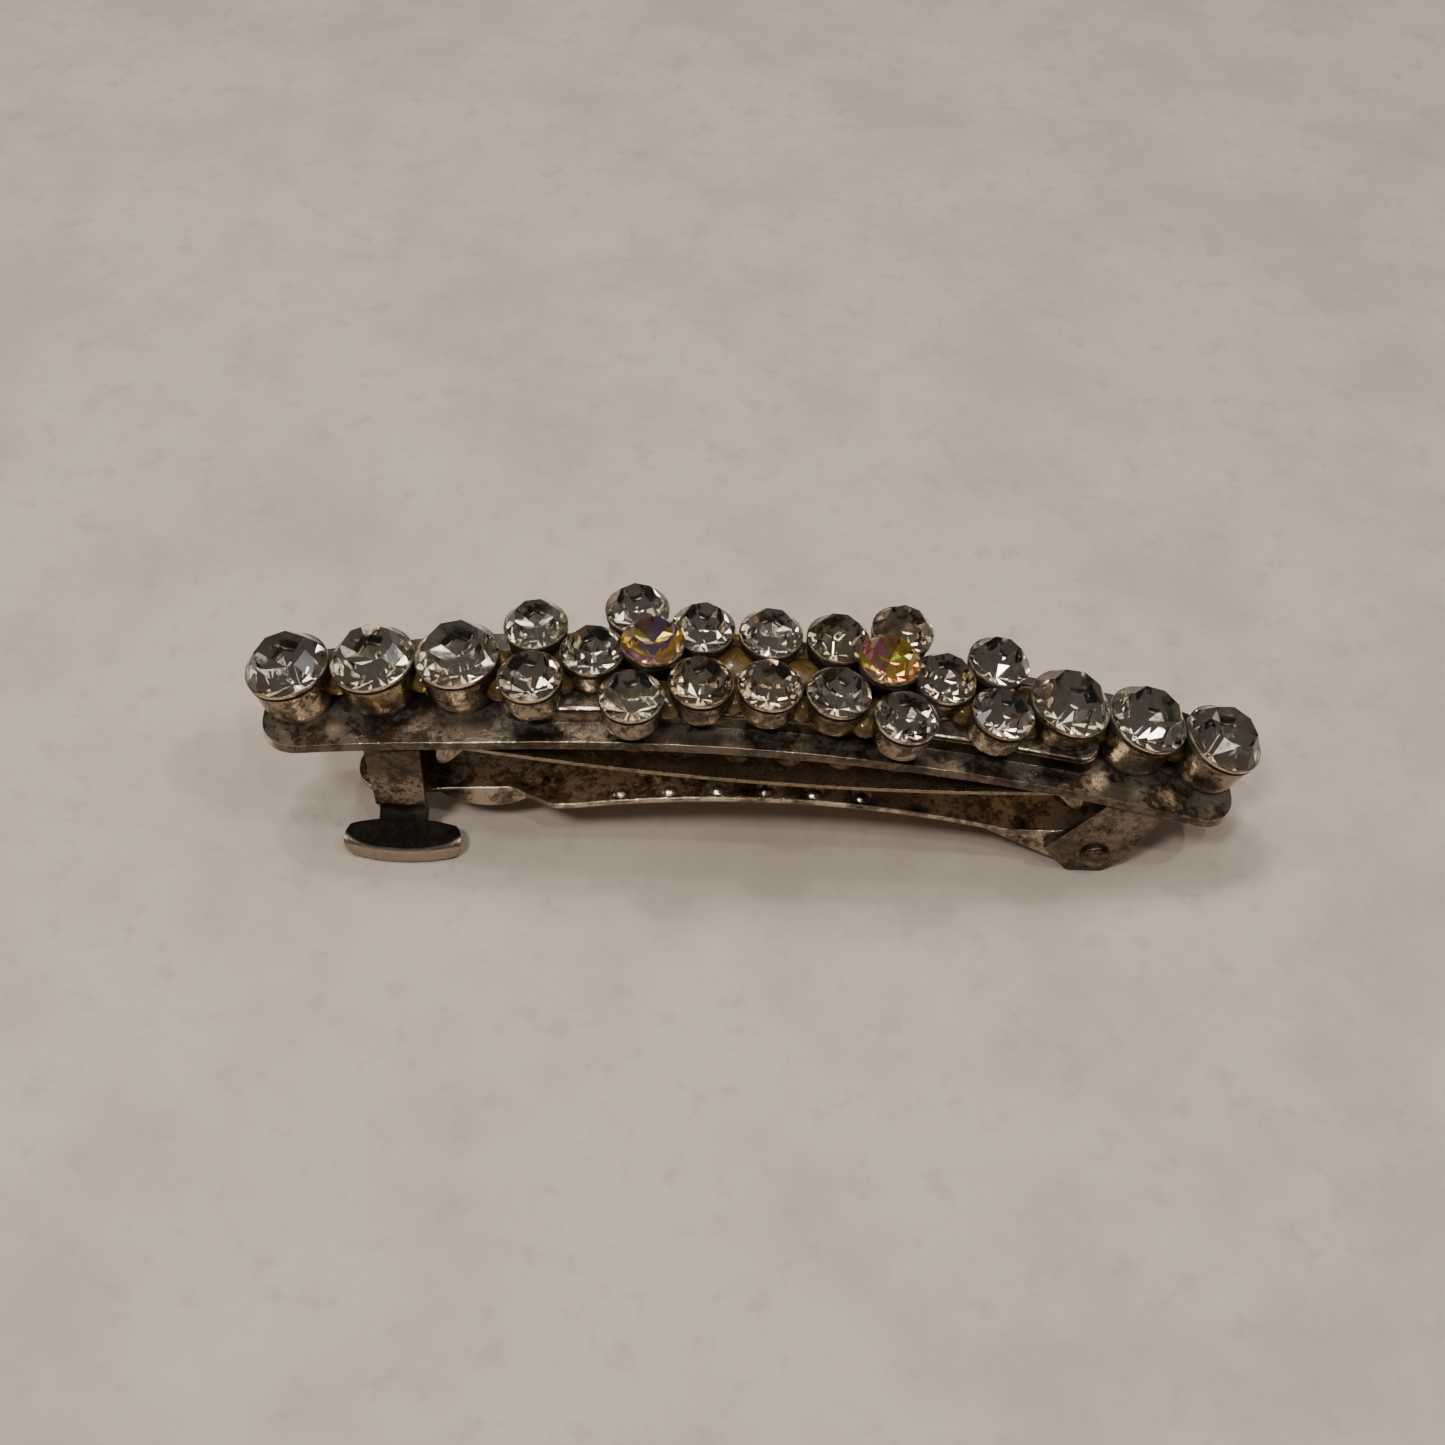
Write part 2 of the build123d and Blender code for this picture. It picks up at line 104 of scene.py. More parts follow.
# ---------------------------------------------------------------- shader helpers
class Nodes:
    """A material's node tree, with short calls for the nodes used here."""

    def __init__(self, name):
        self.material = bpy.data.materials.new(name)
        self.material.use_nodes = True
        self.tree = self.material.node_tree
        self.shader = self.tree.nodes["Principled BSDF"]
        self.where = self.add("ShaderNodeTexCoord").outputs["Object"]

    def add(self, kind, **settings):
        node = self.tree.nodes.new(kind)
        for key, value in settings.items():
            setattr(node, key, value)
        return node

    def put(self, socket, value):
        """Link a node's output to a socket, or set the socket to a number or colour."""
        if hasattr(value, "is_output"):
            self.tree.links.new(value, socket)
        else:
            socket.default_value = value

    def set(self, name, value):
        """Input of the material's shader."""
        self.put(self.shader.inputs[name], value)

    def noise(self, size, detail=4.0, roughness=0.55, shift=(0, 0, 0)):
        """Noise whose features are about size millimetres."""
        node = self.add("ShaderNodeTexNoise")
        moved = self.add("ShaderNodeMapping")
        moved.inputs["Location"].default_value = shift
        self.put(moved.inputs["Vector"], self.where)
        self.put(node.inputs["Vector"], moved.outputs["Vector"])
        node.inputs["Scale"].default_value = 1 / (size * MM)
        node.inputs["Detail"].default_value = detail
        node.inputs["Roughness"].default_value = roughness
        return node.outputs["Fac"]

    def cells(self, size):
        """Distance from the middle of cells about size millimetres across."""
        node = self.add("ShaderNodeTexVoronoi")
        self.put(node.inputs["Vector"], self.where)
        node.inputs["Scale"].default_value = 1 / (size * MM)
        return node.outputs["Distance"]

    def ramp(self, value, low, high, start=0.0, end=1.0):
        """Smooth step from start to end while the value goes from low to high."""
        node = self.add("ShaderNodeMapRange", clamp=True, interpolation_type="SMOOTHSTEP")
        self.put(node.inputs["Value"], value)
        node.inputs["From Min"].default_value = low
        node.inputs["From Max"].default_value = high
        node.inputs["To Min"].default_value = start
        node.inputs["To Max"].default_value = end
        return node.outputs["Result"]

    def math(self, operation, first, second=0.0):
        node = self.add("ShaderNodeMath", operation=operation)
        self.put(node.inputs[0], first)
        self.put(node.inputs[1], second)
        return node.outputs[0]

    def plus(self, first, second):
        return self.math("ADD", first, second)

    def minus(self, first, second):
        return self.math("SUBTRACT", first, second)

    def times(self, first, *factors):
        for factor in factors:
            first = self.math("MULTIPLY", first, factor)
        return first

    def mix(self, share, first, second):
        """Mix of two colours."""
        node = self.add("ShaderNodeMix", data_type="RGBA")
        self.put(node.inputs["Factor"], share)
        self.put(node.inputs["A"], first if hasattr(first, "is_output") else (*first, 1))
        self.put(node.inputs["B"], second if hasattr(second, "is_output") else (*second, 1))
        return node.outputs["Result"]

    def blend(self, share, first, second):
        """Mix of two numbers."""
        node = self.add("ShaderNodeMix", data_type="FLOAT")
        self.put(node.inputs["Factor"], share)
        self.put(node.inputs["A"], first)
        self.put(node.inputs["B"], second)
        return node.outputs["Result"]

    def split(self, vector):
        """The X, Y and Z outputs of a vector."""
        node = self.add("ShaderNodeSeparateXYZ")
        self.put(node.inputs[0], vector)
        return node.outputs

    def normal(self):
        return self.add("ShaderNodeNewGeometry").outputs["Normal"]

    def bump(self, height, strength, depth, normal=None):
        """Bump of a real depth in millimetres."""
        node = self.add("ShaderNodeBump")
        node.inputs["Strength"].default_value = strength
        node.inputs["Distance"].default_value = depth * MM
        self.put(node.inputs["Height"], height)
        if normal is not None:
            self.put(node.inputs["Normal"], normal)
        return node.outputs["Normal"]

    def soft_edge(self, radius):
        """Rounded edges of that radius in millimetres, and a mask of where they are."""
        bevel = self.add("ShaderNodeBevel", samples=6)
        bevel.inputs["Radius"].default_value = radius * MM
        dot = self.add("ShaderNodeVectorMath", operation="DOT_PRODUCT")
        self.put(dot.inputs[0], bevel.outputs["Normal"])
        self.put(dot.inputs[1], self.normal())
        return bevel.outputs["Normal"], self.ramp(dot.outputs["Value"], 0.98, 0.75)

    def hollow(self, distance):
        """1 in the open, towards 0 in a recess, over that many millimetres."""
        node = self.add("ShaderNodeAmbientOcclusion", samples=8)
        node.inputs["Distance"].default_value = distance * MM
        return node.outputs["AO"]


# ---------------------------------------------------------------- metal
SPECK = (0.022, 0.016, 0.012)
OLD_GOLD = (0.50, 0.31, 0.12)
BARE_EDGE = (0.80, 0.72, 0.60)
# colour of recesses and of parts under other parts: tarnish and painted shade
SOOT_AND_SHADE = (0.032, 0.022, 0.015)
# painted shade on faces that look to the front or back
SIDE_SHADE = (0.035, 0.025, 0.018)
# painted highlight on the pads' lip
PAD_LIP_HIGHLIGHT = (0.42, 0.352, 0.292)
PAD_DISH = (0.007, 0.005, 0.0035)
PLATE_SHADE = (0.03, 0.022, 0.016)

# heights over which a catch arm's painted bands fade, at rest, in millimetres above the floor
PAD_X = -26.9                    # middle of the pads along the clip
PAD_REACH = 4.9                  # from there to where the lip has risen by the whole of LIP_CURL
LIP_CURL = 0.5
LIP_BAND = (1.40, 1.65)
DISH_BAND = (2.6, 3.9)
SHADE_BAND = (7.2, 9.2)


def shade_sides(n, colour, rim):
    """Painted shade on faces that look to the front or back, but not on their rounded edges."""
    upright = n.ramp(n.math("ABSOLUTE", n.split(n.normal())["Y"]), 0.6, 0.85)
    return n.mix(n.times(upright, n.minus(1.0, rim), 0.85), colour, SIDE_SHADE)


def paint_pad_light_and_shade(n, colour, metal, rough):
    """Catch arm from below: the pad's pale lip as a painted highlight, its black dish, bare arm, and shade
    under the plate.
    """
    place = n.split(n.where)
    level = place["Z"]
    along = n.times(n.plus(place["X"], -PAD_X * MM), 1 / (PAD_REACH * MM))
    squared = n.times(along, along)
    curl = n.times(squared, squared, LIP_CURL * MM)
    lip = n.ramp(n.minus(level, curl), LIP_BAND[1] * MM, LIP_BAND[0] * MM)
    dish = n.times(n.minus(1.0, lip), n.ramp(level, DISH_BAND[1] * MM, DISH_BAND[0] * MM))
    shade = n.times(n.ramp(level, SHADE_BAND[0] * MM, SHADE_BAND[1] * MM), 0.75)
    # painted highlight on the pad's lip, then painted shade under the plate
    colour = n.mix(n.times(lip, 0.85), colour, PAD_LIP_HIGHLIGHT)
    colour = n.mix(shade, colour, PLATE_SHADE)
    colour = n.mix(n.times(dish, 0.95), colour, PAD_DISH)
    metal = n.times(metal, n.minus(1.0, n.times(dish, 0.9)))
    n.set("Specular IOR Level", n.blend(dish, 0.5, 0.02))
    return colour, metal, n.blend(dish, rough, 0.55)


def worn_metal(name, bright, worn, dark, *, gloss, tarnish, spots, edge, gold=0.0, shift=0.0, soot_and_shade=0.90,
               shaded_sides=False, pads=False):
    """Plated steel: bright on worn edges, mottled brown tarnish on faces, near black in recesses with tarnish
    and painted shade.

    Tarnish, spots, gold and the darkening of recesses are amounts from 0 to 1; that darkening is tarnish in
    the hollows and painted shade under and between parts. A lower gloss is shinier. Edge is the rounding
    of the edges in millimetres, and shift moves the mottling.
    """
    n = Nodes(name)
    broad = n.noise(3.2, 5, 0.62, (shift, 0, 0))
    fine = n.noise(0.62, 7, 0.72, (0, shift, 0))
    grain = n.noise(0.14, 3, 0.6)
    patches = n.plus(n.times(broad, 0.50), n.times(fine, 0.50))
    stain = n.ramp(patches, 0.57 - 0.18 * tarnish, 0.64 - 0.16 * tarnish)
    deep = n.ramp(patches, 0.66 - 0.17 * tarnish, 0.71 - 0.16 * tarnish)
    colour = n.mix(deep, n.mix(stain, bright, worn), dark)
    if gold:
        warm = n.ramp(n.noise(5.5, 3, 0.5, (0, 0, shift + 3)), 0.50, 0.68, 0, gold)
        colour = n.mix(warm, colour, OLD_GOLD)
    speck = n.times(n.ramp(n.cells(0.45), 0.24, 0.12), n.ramp(fine, 0.48, 0.56), spots)
    colour = n.mix(speck, colour, SPECK)
    normal, rim = n.soft_edge(edge)
    open_air = n.hollow(1.8)
    wear = n.times(rim, n.ramp(open_air, 0.45, 0.8), n.ramp(fine, 0.40, 0.56), 0.60)
    colour = n.mix(wear, colour, BARE_EDGE)
    # darker towards recesses and under other parts: tarnish in the hollows and painted shade
    grime_and_shade = n.ramp(open_air, 0.72, 0.24)
    metal = n.minus(0.96, n.times(grime_and_shade, 0.35))
    rough = n.plus(n.ramp(fine, 0.35, 0.68, gloss * 0.65, gloss * 1.6), n.times(grime_and_shade, 0.25))
    if shaded_sides:
        colour = shade_sides(n, colour, rim)
    if pads:
        colour, metal, rough = paint_pad_light_and_shade(n, colour, metal, rough)
    n.set("Base Color", n.mix(n.times(grime_and_shade, soot_and_shade), colour, SOOT_AND_SHADE))
    n.set("Metallic", metal)
    n.set("Roughness", rough)
    pits = n.plus(n.times(fine, 0.7), n.times(grain, 0.3))
    n.set("Normal", n.bump(pits, 0.6, 0.06, normal))
    return n.material


# ---------------------------------------------------------------- glass, foil, glue and floor
def crystal(name, tint, film=0.0, shift=0.0):
    """Clear cut glass with faint surface smears; film is the thickness of its coating in nanometres."""
    n = Nodes(name)
    smear = n.noise(0.9, 4, 0.6, (shift, 0, 0))
    n.set("Base Color", (*tint, 1))
    n.set("Transmission Weight", 1.0)
    n.set("IOR", 1.58)
    n.set("Roughness", n.ramp(smear, 0.50, 0.72, 0.0, 0.09))
    if film:
        n.set("Thin Film Thickness", film)
        n.set("Thin Film IOR", 1.85)
    return n.material


def foil(name, clean, tired, shift, rainbow=0.0):
    """Mirror backing of a stone, darkened in patches by age; rainbow is the share of its painted colours."""
    n = Nodes(name)
    age = n.noise(1.7, 4, 0.6, (0, shift, 0))
    colour = n.mix(n.ramp(age, 0.52, 0.70), clean, tired)
    if rainbow:
        painted = n.add("ShaderNodeVertexColor", layer_name="facet")
        colour = n.mix(rainbow, colour, painted.outputs["Color"])
    n.set("Base Color", colour)
    n.set("Metallic", 0.86 if rainbow else 0.99)
    n.set("Roughness", n.ramp(age, 0.40, 0.75, 0.02, 0.16))
    return n.material


def glue_material():
    """Old yellow glue, cloudy and half clear."""
    n = Nodes("old_glue")
    cloud = n.noise(1.1, 4, 0.6)
    n.set("Base Color", n.mix(n.ramp(cloud, 0.35, 0.68), (0.46, 0.29, 0.10), (0.19, 0.105, 0.032)))
    n.set("Transmission Weight", 0.72)
    n.set("IOR", 1.48)
    n.set("Roughness", n.ramp(cloud, 0.4, 0.7, 0.06, 0.34))
    n.set("Normal", n.bump(n.noise(0.7, 3), 0.6, 0.08))
    return n.material


def floor_material():
    """Pale, faintly mottled, matt surface."""
    n = Nodes("pale_surface")
    cloud = n.noise(17, 5, 0.6)
    fleck = n.noise(3.0, 5, 0.65)
    weave = n.noise(0.5, 3, 0.6)
    colour = n.mix(n.ramp(cloud, 0.40, 0.66), (0.62, 0.515, 0.43), (0.53, 0.437, 0.363))
    colour = n.mix(n.ramp(fleck, 0.52, 0.70, 0, 0.60), colour, (0.47, 0.39, 0.325))
    n.set("Base Color", colour)
    n.set("Roughness", 0.75)
    n.set("Specular IOR Level", 0.25)
    n.set("Normal", n.bump(n.plus(n.times(fleck, 0.7), n.times(weave, 0.3)), 0.35, 0.5))
    return n.material


# ---------------------------------------------------------------- meshes
TURNED_SIDES = 96                # of a turned cup
CURVE_STEPS = 5                  # between two points of a smooth profile


def mesh_object(name, points, faces, place, materials, slots=None, smooth=False):
    """Mesh from points in millimetres, put in place so that its own vertices are in the shared frame."""
    data = bpy.data.meshes.new(name)
    data.from_pydata([place @ (Vector(p) * MM) for p in points], [], faces)
    for material in materials:
        data.materials.append(material)
    if slots:
        for face, slot in zip(data.polygons, slots):
            face.material_index = slot
    for face in data.polygons:
        face.use_smooth = smooth
    data.update()
    thing = bpy.data.objects.new(name, data)
    bpy.context.scene.collection.objects.link(thing)
    return thing


def ring(radius, height, count, turn=0.0):
    """Points evenly round a circle."""
    return [(radius * cos(turn + 2 * pi * i / count), radius * sin(turn + 2 * pi * i / count), height)
            for i in range(count)]


def lathe(profile):
    """Closed turned shape from (radius, height) points that start and end on the axis."""
    count = TURNED_SIDES
    points = [(0, 0, profile[0][1])]
    for radius, height in profile[1:-1]:
        points += ring(radius, height, count)
    points.append((0, 0, profile[-1][1]))
    rows = len(profile) - 2
    faces = []
    for i in range(count):
        after = (i + 1) % count
        faces.append((0, 1 + after, 1 + i))
        for row in range(rows - 1):
            low = 1 + row * count
            faces.append((low + i, low + after, low + count + after, low + count + i))
        last = 1 + (rows - 1) * count
        faces.append((last + i, last + after, len(points) - 1))
    return points, faces


def curve_through(points):
    """Smooth (Catmull-Rom) line through (radius, height) points."""
    path = []
    for i in range(len(points) - 1):
        a = points[max(i - 1, 0)]
        b, c = points[i], points[i + 1]
        d = points[min(i + 2, len(points) - 1)]
        for s in range(CURVE_STEPS):
            t = s / CURVE_STEPS
            path.append(tuple(
                0.5 * (2 * b[k] + (c[k] - a[k]) * t + (2 * a[k] - 5 * b[k] + 4 * c[k] - d[k]) * t * t
                       + (3 * b[k] - a[k] - 3 * c[k] + d[k]) * t ** 3)
                for k in range(2)))
    path.append(points[-1])
    return path


# ---------------------------------------------------------------- cut stones
PAVILION = tan(radians(33.0))    # slope of the foiled cone
GIRDLE_TOP = 0.01                # below the girdle plane
GIRDLE_EDGE = 0.18               # the same, for the lower side of the stone's straight edge
TABLE = 0.64                     # these three are shares of the stone's radius
CROWN = 0.5
EDGE_RADIUS = 0.998
KEEL = 0.96                      # depth of the cone, as a share of a full point
LEAN = 0.02                      # radians that a stone may sit askew


def stone_mesh(radius, girdle, chance):
    """Cut stone: octagonal table, 8 mains and 8 corner facets above, 8 wedges to a point below."""
    rise = CROWN * (1 - GLASS_GROWTH / radius)
    edge_radius = radius * EDGE_RADIUS
    keel = radius * PAVILION * KEEL
    upper, lower, tip = 8, 24, 40                # first point of each ring after the table's
    points = ring(radius * TABLE, girdle + radius * rise, 8, pi / 8)
    points += ring(edge_radius, girdle - GIRDLE_TOP, 16, pi / 16)
    for k, (x, y, z) in enumerate(ring(edge_radius, girdle - GIRDLE_EDGE, 16)):
        points.append((x, y, z + k % 2 * keel * (1 / cos(pi / 8) - 1)))    # so each wedge below is flat
    points.append((0, 0, girdle - GIRDLE_EDGE - keel))
    faces = [tuple(range(8))]
    for i in range(8):
        faces.append((i, (i - 1) % 8, upper + (2 * i - 1) % 16, upper + 2 * i))
        faces.append((i, upper + 2 * i, upper + (2 * i + 1) % 16))
    crown_faces = len(faces)
    for k in range(16):
        after = (k + 1) % 16
        faces.append((upper + k, lower + k, lower + after))
        faces.append((upper + k, lower + after, upper + after))
    first_wedge = len(faces)
    for i in range(8):
        faces.append((lower + (2 * i + 2) % 16, lower + 2 * i + 1, lower + 2 * i, tip))
    slots = [0] * crown_faces + [1] * (len(faces) - crown_faces)
    spin = Matrix.Rotation(chance.uniform(0, pi / 4), 3, "Z")
    lean = Euler((chance.uniform(-LEAN, LEAN), chance.uniform(-LEAN, LEAN), 0)).to_matrix()
    pivot = Vector((0, 0, girdle))
    points = [tuple(pivot + lean @ spin @ (Vector(p) - pivot)) for p in points]
    return points, faces, slots, first_wedge


# ---------------------------------------------------------------- drawn cups, in millimetres
SHEET = 0.2
FOOT = ((0.18, 0.0), (0.04, 0.05), (0.0, 0.2))                # inside the foot's radius, above its lower face
BELLY = (0.62, 0.35)                                          # shares of the way out and up to ROLLED_RIM
BELLY_INSET = 0.16
FLARE = 0.12                                                  # a stem widens by this into its cup
STEM_BEND = 0.4                                               # and begins to this far below it
ROLLED_RIM = ((0.17, 0.95), (0.07, 0.72), (0.05, 0.60), (0.15, 0.44), (0.10, 0.36), (0.01, 0.28),
              (0.0, 0.18), (0.01, 0.08), (0.03, 0.04), (0.05, 0.06))    # inside the rim, below the girdle
SEAT = (0.7, 0.3)                                             # shares of the stone's radius: in, and down
RIM_DEPTH = 0.32                                              # below the girdle
GROOVE_DEPTH = 0.60
WALL_OUTSIDE = 0.05                                           # rim faces reach to the stone less this


def cup_profile(radius, girdle, foot, foot_radius, stem_top):
    """Drawn cup: rounded foot, bellied wall, a groove under a rolled rim that closes on the stone."""
    rim = radius + CUP_LIP
    outside = [(foot_radius - inset, foot + up) for inset, up in FOOT]
    start = foot
    if stem_top is not None:
        start = stem_top
        outside += [(foot_radius, stem_top - STEM_BEND), (foot_radius + FLARE, stem_top)]
    climb = girdle - ROLLED_RIM[0][1] - start
    outside.append((foot_radius + (rim - BELLY_INSET - foot_radius) * BELLY[0], start + climb * BELLY[1]))
    outside += [(rim - inset, girdle - down) for inset, down in ROLLED_RIM]
    floor = start + SHEET
    inside = [(rim - ROLLED_RIM[-1][0], girdle - SHEET),
              (radius * SEAT[0], girdle - SHEET - radius * SEAT[1] * PAVILION),
              (foot_radius - 0.25, floor)]
    return [(0, foot)] + curve_through(outside) + inside + [(0, floor)]


def cup_slots(points, faces, radius, girdle):
    """Material of each face of a cup: 0 is the wall, 1 the rim and 2 the groove under it."""
    slots = []
    for face in faces:
        level = sum(points[v][2] for v in face) / len(face)
        outside = max(abs(complex(*points[v][:2])) for v in face) > radius - WALL_OUTSIDE
        if outside and level > girdle - RIM_DEPTH:
            slots.append(1)
        elif outside and girdle - GROOVE_DEPTH < level < girdle - RIM_DEPTH:
            slots.append(2)
        else:
            slots.append(0)
    return slots


# ---------------------------------------------------------------- materials
# recesses darken as tarnish and painted shade; on the lever it is mostly painted shade under the plate
plate_look = worn_metal("tarnished_plate", (0.72, 0.62, 0.49), (0.16, 0.12, 0.086), (0.032, 0.023, 0.016),
                        gloss=0.17, tarnish=0.61, spots=0.9, edge=0.09, gold=0.20, shaded_sides=True)
clasp_look = worn_metal("tarnished_clasp", (0.26, 0.21, 0.16), (0.09, 0.067, 0.048), (0.02, 0.014, 0.010),
                        gloss=0.26, tarnish=0.80, spots=0.8, edge=0.08, shift=1.7)
bow_look = worn_metal("tarnished_bow", (0.30, 0.24, 0.175), (0.19, 0.145, 0.10), (0.07, 0.052, 0.036),
                      gloss=0.30, tarnish=0.55, spots=0.8, edge=0.07, shift=3.3, soot_and_shade=0.40)
lever_look = worn_metal("tarnished_lever", (0.62, 0.53, 0.42), (0.20, 0.155, 0.115), (0.035, 0.025, 0.018),
                        gloss=0.17, tarnish=0.62, spots=0.8, edge=0.20, shift=1.7, soot_and_shade=0.58)
arm_look = worn_metal("tarnished_arms", (0.25, 0.203, 0.157), (0.068, 0.051, 0.037), (0.022, 0.016, 0.011),
                      gloss=0.26, tarnish=0.68, spots=0.9, edge=0.08, shift=4.1, pads=True)
bracket_look = worn_metal("tarnished_bracket", (0.19, 0.158, 0.123), (0.098, 0.077, 0.057),
                          (0.026, 0.019, 0.014), gloss=0.30, tarnish=0.60, spots=0.8, edge=0.08, shift=8.4)
fixing_look = worn_metal("tarnished_fixings", (0.24, 0.195, 0.15), (0.10, 0.076, 0.056), (0.03, 0.022, 0.016),
                         gloss=0.26, tarnish=0.6, spots=0.5, edge=0.08, shift=2.9)
cup_look = worn_metal("tarnished_cups", (0.30, 0.245, 0.185), (0.075, 0.055, 0.038), (0.022, 0.016, 0.011),
                      gloss=0.24, tarnish=0.70, spots=0.9, edge=0.05, gold=0.12, shift=6.3)
# the rims are paler than the cups: wear and a painted highlight
rim_wear_and_highlight = worn_metal("worn_rims_and_painted_highlight", (0.56, 0.47, 0.36), (0.20, 0.155, 0.11), (0.05, 0.037, 0.025),
                      gloss=0.20, tarnish=0.55, spots=0.6, edge=0.04, gold=0.15, shift=6.3, soot_and_shade=0.5)
# the grooves under the rims are painted near black: painted shade
groove_shade = worn_metal("rim_grooves_painted_shade", (0.06, 0.045, 0.03), (0.03, 0.022, 0.015), (0.015, 0.010, 0.007),
                         gloss=0.40, tarnish=0.5, spots=0.5, edge=0.03, shift=6.3)
glue_look = glue_material()

clear = crystal("clear_crystal", (0.985, 0.965, 0.935))
coated = crystal("aurora_crystal", (0.98, 0.96, 0.93), film=280.0, shift=2.0)
silver_foils = [
    foil("foil_bright", (0.96, 0.90, 0.81), (0.62, 0.51, 0.38), 0.0),
    foil("foil_grey", (0.87, 0.80, 0.72), (0.46, 0.37, 0.28), 1.3),
    foil("foil_warm", (0.90, 0.80, 0.65), (0.50, 0.38, 0.25), 2.7),
]
aurora_foil = foil("foil_aurora", (0.90, 0.86, 0.82), (0.55, 0.45, 0.36), 0.7, rainbow=0.88)

# colours of the two coated stones, wedge by wedge round each one
AURORA = {
    "left_centre": [(1.0, 0.66, 0.05), (0.26, 0.17, 0.55), (0.42, 0.24, 0.34), (1.0, 0.80, 0.16),
                    (0.90, 0.55, 0.50), (1.0, 0.45, 0.30), (1.0, 0.62, 0.30), (1.0, 0.60, 0.04)],
    "right_centre": [(1.0, 0.62, 0.05), (0.62, 0.42, 0.16), (1.0, 0.20, 0.48), (0.84, 0.95, 0.12),
                     (0.40, 0.50, 0.72), (0.80, 0.46, 0.40), (1.0, 0.28, 0.20), (1.0, 0.88, 0.05)],
}

NODE_LOOKS = {
    "top_plate": (plate_look, "plate_metal"),
    "catch_base": (clasp_look, "clasp_metal"),
    "catch_arm_front": (arm_look, "clasp_metal"),
    "catch_arm_back": (arm_look, "clasp_metal"),
    "bow_spring": (bow_look, "clasp_metal"),
    "lever": (lever_look, "clasp_metal"),
    "hinge_bracket": (bracket_look, "clasp_metal"),
    "bracket_rivet": (plate_look, "fixings"),
    "catch_rivet": (plate_look, "fixings"),
    "hinge_pin": (fixing_look, "fixings"),
}
for node, (look, slot) in NODE_LOOKS.items():
    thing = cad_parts[node]
    thing.data.materials.clear()
    thing.data.materials.append(look)


# ---------------------------------------------------------------- every cup with its stone
def add_cup(name, place, setting):
    points, faces = lathe(cup_profile(*setting))
    slots = cup_slots(points, faces, setting.radius, setting.girdle)
    looks = [cup_look, rim_wear_and_highlight, groove_shade]
    cup = mesh_object(f"drawn_cup_{name}", points, faces, place, looks, slots, smooth=True)
    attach(cup, BODY)
    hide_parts(f"cup_{name}")


def paint_wedges(gem, colours, first_wedge):
    """Colour of each wedge, read by the aurora foil; the faces before them take the first one."""
    layer = gem.data.color_attributes.new("facet", "FLOAT_COLOR", "CORNER")
    for number, face in enumerate(gem.data.polygons):
        pick = colours[max(number - first_wedge, 0)]
        for corner in face.loop_indices:
            layer.data[corner].color = (*pick, 1)


def add_stone(name, place, setting, chance):
    points, faces, slots, first_wedge = stone_mesh(setting.radius + GLASS_GROWTH, setting.girdle, chance)
    aurora = name in AURORA
    looks = [coated, aurora_foil] if aurora else [clear, silver_foils[chance.randrange(3)]]
    gem = mesh_object(f"cut_stone_{name}", points, faces, place, looks, slots)
    if aurora:
        paint_wedges(gem, AURORA[name], first_wedge)
    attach(gem, BODY)
    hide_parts(f"stone_{name}")


for index, (name, station, across, kind) in enumerate(layout()):
    place = on_arch(station, across)
    add_cup(name, place, SETTINGS[kind])
    add_stone(name, place, SETTINGS[kind], Random(index + FIRST_SEED))

# ---------------------------------------------------------------- old glue between the cups, in millimetres
GLUE_VOXEL = 0.11                # the beads are fused on a grid this fine
GLUE_SMOOTHING = 8
GLUE_GAP = 0.9                   # cups nearer than this have a bead between them
GLUE_TOP = 2.55                  # of a bead beside a large cup, above the plate
GLUE_TOP_SMALL = 3.05            # of a bead between two small cups
GLUE_DROP = 1.1                  # from a bead's top to its middle
GLUE_STRAY = 0.2
FLOWER_GLUE_RING = 2.6           # beads round a flower's centre
FLOWER_GLUE_HEIGHT = 2.1
FLOWER_GLUE_RADII = (1.3, 1.3, 0.95)
PUDDLE_SPREAD = 1.4
PUDDLE_DEPTH = 0.95
PUDDLES = (                      # station, place across, height, radius
    (-2.3, 0.6, 2.2, 1.25),
    (2.4, 0.3, 2.0, 1.1),
    (-13.6, 0.8, 1.9, 1.0),
    (13.4, 0.9, 1.9, 1.0),
    (-3.2, 2.6, 1.9, 0.9),
)


def beads_between_cups(luck):
    beads = []
    rows = layout()
    for i, (_, station, across, kind) in enumerate(rows):
        for _, station2, across2, kind2 in rows[i + 1:]:
            reach = SETTINGS[kind].radius + SETTINGS[kind2].radius + 2 * CUP_LIP
            gap = (((station - station2) * SPREAD) ** 2 + (across - across2) ** 2) ** 0.5 - reach
            if gap > GLUE_GAP or "centre" in (kind, kind2):
                continue
            top = GLUE_TOP_SMALL if kind == kind2 == "small" else GLUE_TOP
            middle = on_arch((station + station2) / 2 + luck.uniform(-GLUE_STRAY, GLUE_STRAY),
                             (across + across2) / 2 + luck.uniform(-GLUE_STRAY, GLUE_STRAY),
                             top - GLUE_DROP)
            radii = (luck.uniform(0.95, 1.2), luck.uniform(0.95, 1.25), luck.uniform(0.8, 1.05))
            beads.append((middle, radii))
    return beads


def beads_in_flowers():
    beads = []
    for side in (-1, 1):
        for petal in range(PETALS):
            angle = 2 * pi * (petal + 0.5) / PETALS
            station = side * (FLOWER_STATION + FLOWER_GLUE_RING * cos(angle))
            place = on_arch(station, FLOWER_GLUE_RING * sin(angle), FLOWER_GLUE_HEIGHT)
            beads.append((place, FLOWER_GLUE_RADII))
    return beads


def puddles():
    return [(on_arch(station, across, height), (radius * PUDDLE_SPREAD, radius * PUDDLE_SPREAD, PUDDLE_DEPTH))
            for station, across, height, radius in PUDDLES]


def unit_ball():
    """Mesh of a ball of radius 1."""
    ball = bpy.data.meshes.new("bead")
    bm = bmesh.new()
    bmesh.ops.create_icosphere(bm, subdivisions=3, radius=1.0)
    bm.to_mesh(ball)
    bm.free()
    return ball


